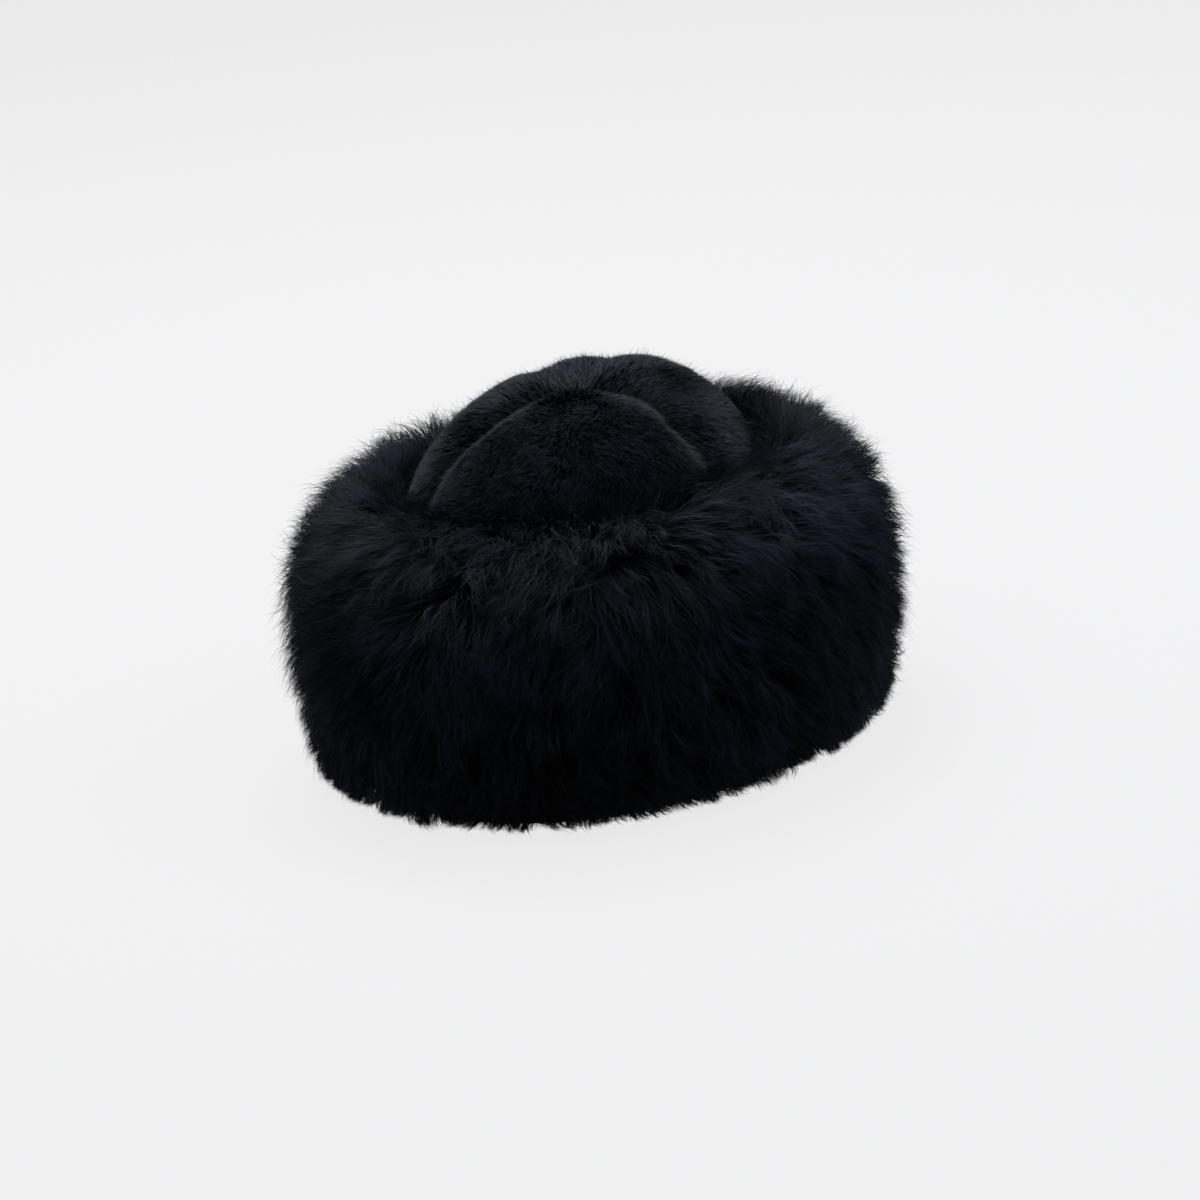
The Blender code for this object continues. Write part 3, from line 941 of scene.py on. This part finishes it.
def place_pile(gore, chance):
    """Where a gore's tufts stand, as angle and radius in its quarter, and its strands, as plan shares."""
    half_width = OPENING_WIDTH / 2 + CROWN_REACH
    half_length = OPENING_LENGTH / 2 + CROWN_REACH
    angle = chance.uniform(0, math.pi / 2, PILE_TUFTS)
    radius = np.sqrt(chance.uniform(0, PILE_EDGE, PILE_TUFTS))
    off_a, off_b = lock_shape(chance, PILE_TUFTS * PILE_PER_TUFT)
    x_mid = radius * np.cos(angle)
    y_mid = radius * np.sin(angle)
    x = np.abs(by_tuft(x_mid) + off_a * TUFT_RADIUS / half_width)
    y = np.abs(by_tuft(y_mid) + off_b * TUFT_RADIUS / half_length)
    shrink = PILE_EDGE / np.maximum(np.hypot(x, y), PILE_EDGE)
    return {
        "angle": angle,
        "radius": radius,
        "x": gore["x_side"] * x * shrink,
        "y": gore["y_side"] * y * shrink,
        "x_mid": gore["x_side"] * x_mid,
        "y_mid": gore["y_side"] * y_mid,
    }


def downhill_way(x, y, normal):
    """The way down the crown here, and outward where it is level."""
    half_width = OPENING_WIDTH / 2 + CROWN_REACH
    half_length = OPENING_LENGTH / 2 + CROWN_REACH
    up = normal[:, 2]
    downhill = np.stack([up * normal[:, 0], up * normal[:, 1], up**2 - 1], -1)
    steep = np.linalg.norm(downhill, axis=1)
    over_x, over_y = turned(x, y)
    plan_out = unit(np.stack([over_x * half_width, over_y * half_length, 0 * x], -1), LEAST_LENGTH)
    return np.where(steep[:, None] > LEVEL_SLOPE, unit(downhill, LEAST_LENGTH), plan_out)


def grow_gore(number, gore, material):
    """One gore's short pile, in small tufts that lean down the crown."""
    chance = np.random.default_rng(GORE_SEED + number)
    shared = np.random.default_rng(GORE_SHARED_SEED)
    swirl_field = waves(shared, **SWIRL_FIELD)
    tone_field = waves(shared, **PILE_TONE_FIELD)
    tufts = PILE_TUFTS
    strands = tufts * PILE_PER_TUFT
    places = place_pile(gore, chance)
    field_place = (places["angle"] * FIELD_TURNS, places["radius"] * FIELD_REACH)
    x = places["x"]
    y = places["y"]
    depth = -PILE_SKIN_DEPTH - ROOT_SINK
    root, normal = dome_place(x, y, np.full(strands, depth))
    middle, _ = dome_place(places["x_mid"], places["y_mid"], np.full(tufts, depth))
    downhill = downhill_way(x, y, normal)
    sideways = np.cross(normal, downhill)
    swirl = by_tuft(SWIRL_WAVES * swirl_field(*field_place) + chance.normal(0, TUFT_SWIRL, tufts))
    swirl += chance.normal(0, STRAND_SWIRL, strands)
    lean_way = downhill * np.cos(swirl)[:, None] + sideways * np.sin(swirl)[:, None]
    lean = by_tuft(chance.uniform(*TUFT_LEANS, tufts)) + chance.normal(0, STRAND_LEAN, strands)
    lean *= np.clip(by_tuft(places["radius"]) / TOP_RADIUS, TOP_LEAN, 1)
    guard = chance.uniform(0, 1, strands) < gore["guard"]
    lean *= np.where(guard, GUARD_LEAN, 1)
    length = PILE_LENGTH * by_tuft(chance.uniform(*TUFT_LENGTHS, tufts))
    length *= chance.uniform(*PILE_LENGTHS, strands)
    length *= np.where(guard, chance.uniform(*GUARD_LENGTHS, strands), 1)
    gather = chance.uniform(*PILE_GATHER, strands)
    to_middle = np.repeat(middle, PILE_PER_TUFT, axis=0) - root
    paths = []
    for t in PILE_STEPS:
        stand = length * (t - PILE_DROOP * lean * t**2) * PILE_STAND
        slide = length * lean * t**SLIDE_POWER
        point = root + normal * stand[:, None] + lean_way * slide[:, None]
        paths.append(point + to_middle * (gather * t**PILE_GATHER_POWER)[:, None])
    paths = np.stack(paths, 1)
    outward = normal + FACING_LEAN * lean_way + chance.normal(0, PILE_FACING_CHANGE, normal.shape)
    shading = RELIEF_SHARE * relief_normal(x, y, normal) + (1 - RELIEF_SHARE) * normal
    shading += LIT_LEAN * lean_way
    shading += chance.normal(0, LIT_CHANGE, normal.shape)
    shading[:, 2] += EDGE_LIFT * np.hypot(x, y) ** EDGE_LIFT_POWER
    shading /= np.linalg.norm(shading, axis=1)[:, None]
    # the gore's tone is painted light and shade; the tone waves and random tones are the pile's own
    tones = gore["tone"] + PILE_TONE_WAVES * by_tuft(tone_field(*field_place))
    tones += TUFT_TONE * by_tuft(chance.normal(0, 1, tufts))
    # painted highlight along the ridges and painted shade down in the seams
    tones += chance.normal(0, PILE_TONE, strands) + painted_seam_light(x, y)
    widths = PILE_STRAND_WIDTH * chance.uniform(*PILE_WIDTHS, strands) * np.where(guard, GUARD_WIDTH, 1)
    return ribbons(gore["name"] + "_pile", paths, outward, widths, tones, material, shading)


def stage_floor():
    """A plain pale floor, lit a little from itself so that the shadow stays faint."""
    half = FLOOR_HALF
    points = [(-half, -half, 0), (half, -half, 0), (half, half, 0), (-half, half, 0)]
    material, _, _, shader = new_material("pale_floor")
    shader.inputs["Base Color"].default_value = (*FLOOR_COLOUR, 1)
    shader.inputs["Roughness"].default_value = 1.0
    shader.inputs["Specular IOR Level"].default_value = 0.0
    shader.inputs["Emission Color"].default_value = (*FLOOR_GLOW, 1)
    shader.inputs["Emission Strength"].default_value = FLOOR_GLOW_STRENGTH
    floor = new_mesh_object("floor", points, [(0, 1, 2, 3)], material)


def facing_way(azimuth, elevation):
    """The direction from the hat toward this azimuth and elevation, both in degrees."""
    a = math.radians(azimuth)
    e = math.radians(elevation)
    return Vector((math.sin(a) * math.cos(e), -math.cos(a) * math.cos(e), math.sin(e)))


def camera_axes():
    """The camera's right, up and backward directions, with its roll."""
    azimuth = math.radians(CAMERA_AZIMUTH)
    roll = math.radians(CAMERA_ROLL)
    back = facing_way(CAMERA_AZIMUTH, CAMERA_ELEVATION)
    right = Vector((math.cos(azimuth), math.sin(azimuth), 0))
    up = back.cross(right)
    right_rolled = right * math.cos(roll) - up * math.sin(roll)
    up_rolled = right * math.sin(roll) + up * math.cos(roll)
    return right_rolled, up_rolled, back


def place_camera():
    """The camera, where the photograph was taken from."""
    right, up, back = camera_axes()
    camera = place_object("camera", bpy.data.cameras.new("camera"))
    camera.data.lens = CAMERA_LENS
    camera.data.sensor_width = CAMERA_SENSOR
    camera.data.clip_start, camera.data.clip_end = CAMERA_CLIP
    turn = Matrix((right, up, back)).transposed().to_4x4()
    place = right * AIM_RIGHT + up * AIM_UP + back * CAMERA_DISTANCE
    camera.matrix_world = Matrix.Translation(place) @ turn
    bpy.context.scene.camera = camera


def area_light(row):
    """A soft square lamp that faces the hat."""
    lamp = bpy.data.lights.new(row["name"], "AREA")
    lamp.size = row["size"]
    lamp.energy = row["power"]
    lamp.color = row["colour"]
    way = facing_way(CAMERA_AZIMUTH + row["turn"], row["elevation"])
    lamp_object = place_object(row["name"], lamp)
    lamp_object.location = way * row["distance"] + Vector((0, 0, LAMP_AIM))
    lamp_object.rotation_euler = way.to_track_quat("Z", "Y").to_euler()


def light_studio():
    """A pale world and three soft lamps."""
    world = bpy.data.worlds.new("studio")
    bpy.context.scene.world = world
    world.use_nodes = True
    background = world.node_tree.nodes["Background"]
    background.inputs["Color"].default_value = (*WORLD_COLOUR, 1)
    background.inputs["Strength"].default_value = WORLD_STRENGTH
    for row in LAMPS:
        area_light(row)
    bpy.context.scene.view_settings.view_transform = "Standard"


def main():
    place_camera()
    long_fur = fur_material("long_fur", **LONG_FUR)
    short_fur = fur_material("short_fur", **SHORT_FUR)
    undercoat = hide_material("undercoat", **UNDERCOAT)
    suede = hide_material("suede", **SUEDE)
    hide = make_band_hide(undercoat, suede)
    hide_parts("fur_band")
    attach(hide, "root")
    for sector in range(BAND_SECTORS):
        fur = grow_band_sector(sector, long_fur)
        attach(fur, "root")
    for number, gore in enumerate(GORES):
        skin = make_gore_hide(gore, undercoat, suede)
        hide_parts(gore["name"])
        pile = grow_gore(number, gore, short_fur)
        for piece in (skin, pile):
            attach(piece, "root")
    stage_floor()
    light_studio()


main()
